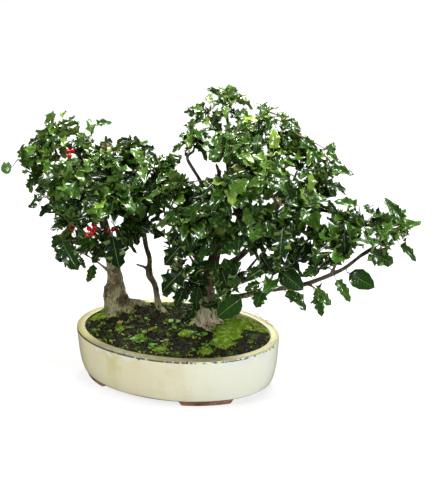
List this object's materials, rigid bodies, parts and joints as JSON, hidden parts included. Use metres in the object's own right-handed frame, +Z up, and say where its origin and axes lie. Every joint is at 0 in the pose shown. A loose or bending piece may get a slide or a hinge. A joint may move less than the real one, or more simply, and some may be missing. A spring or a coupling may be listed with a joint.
{
  "type": "english holly bonsai",
  "caption": "Bonsai group of English hollies with spiny glossy leaves and red berries, in a shallow cream-glazed oval pot on low clay feet, for display on a table or stand.",
  "frame": {"origin": "middle of the bounding box, on the plane that the pot feet stand on", "axes": "+X along the long side of the pot and of the whole group, towards the long low branch; +Y across it, away from the front; +Z up"},
  "size_m": [0.7182, 0.2824, 0.5035],
  "materials": {
    "glaze": "gloss",
    "soil": "matte",
    "bark": "matte",
    "leaf": "gloss",
    "berry": "gloss",
    "screen": "matte"
  },
  "bodies": {
    "root": {"berries_left": "berry", "berries_low": "berry", "berries_right": "berry", "berries_top": "berry", "drain_screen_left": "screen", "drain_screen_right": "screen", "leaves_branch_front": "leaf", "leaves_branch_hanging": "leaf", "leaves_branch_middle": "leaf", "leaves_branch_tip": "leaf", "leaves_branch_under": "leaf", "leaves_branch_upper": "leaf", "leaves_left_apex": "leaf", "leaves_left_back": "leaf", "leaves_left_bottom": "leaf", "leaves_left_front": "leaf", "leaves_left_low_front": "leaf", "leaves_left_low_left": "leaf", "leaves_left_low_right": "leaf", "leaves_left_mid_left": "leaf", "leaves_left_over_trunk": "leaf", "leaves_left_right": "leaf", "leaves_left_upper_left": "leaf", "leaves_left_upper_right": "leaf", "leaves_middle_back": "leaf", "leaves_middle_left": "leaf", "leaves_middle_low": "leaf", "leaves_middle_low_right": "leaf", "leaves_middle_right": "leaf", "leaves_middle_top": "leaf", "leaves_right_apex": "leaf", "leaves_right_apex_left": "leaf", "leaves_right_apex_right": "leaf", "leaves_right_back": "leaf", "leaves_right_base_front": "leaf", "leaves_right_centre": "leaf", "leaves_right_crooked": "leaf", "leaves_right_dark_lower": "leaf", "leaves_right_dark_upper": "leaf", "leaves_right_front": "leaf", "leaves_right_left_low": "leaf", "leaves_right_left_shoulder": "leaf", "leaves_right_limb_end": "leaf", "leaves_right_low_centre": "leaf", "leaves_right_low_left": "leaf", "leaves_right_low_middle": "leaf", "leaves_right_mid_back": "leaf", "leaves_right_mid_front": "leaf", "leaves_right_shoulder": "leaf", "leaves_right_side": "leaf", "leaves_right_side_back": "leaf", "leaves_right_tip": "leaf", "leaves_right_upper_back": "leaf", "leaves_right_upper_front": "leaf", "leaves_right_upper_right": "leaf", "left_tree": "bark", "middle_tree": "bark", "pot": "glaze", "right_tree": "bark", "soil": "soil"}
  },
  "joints": []
}
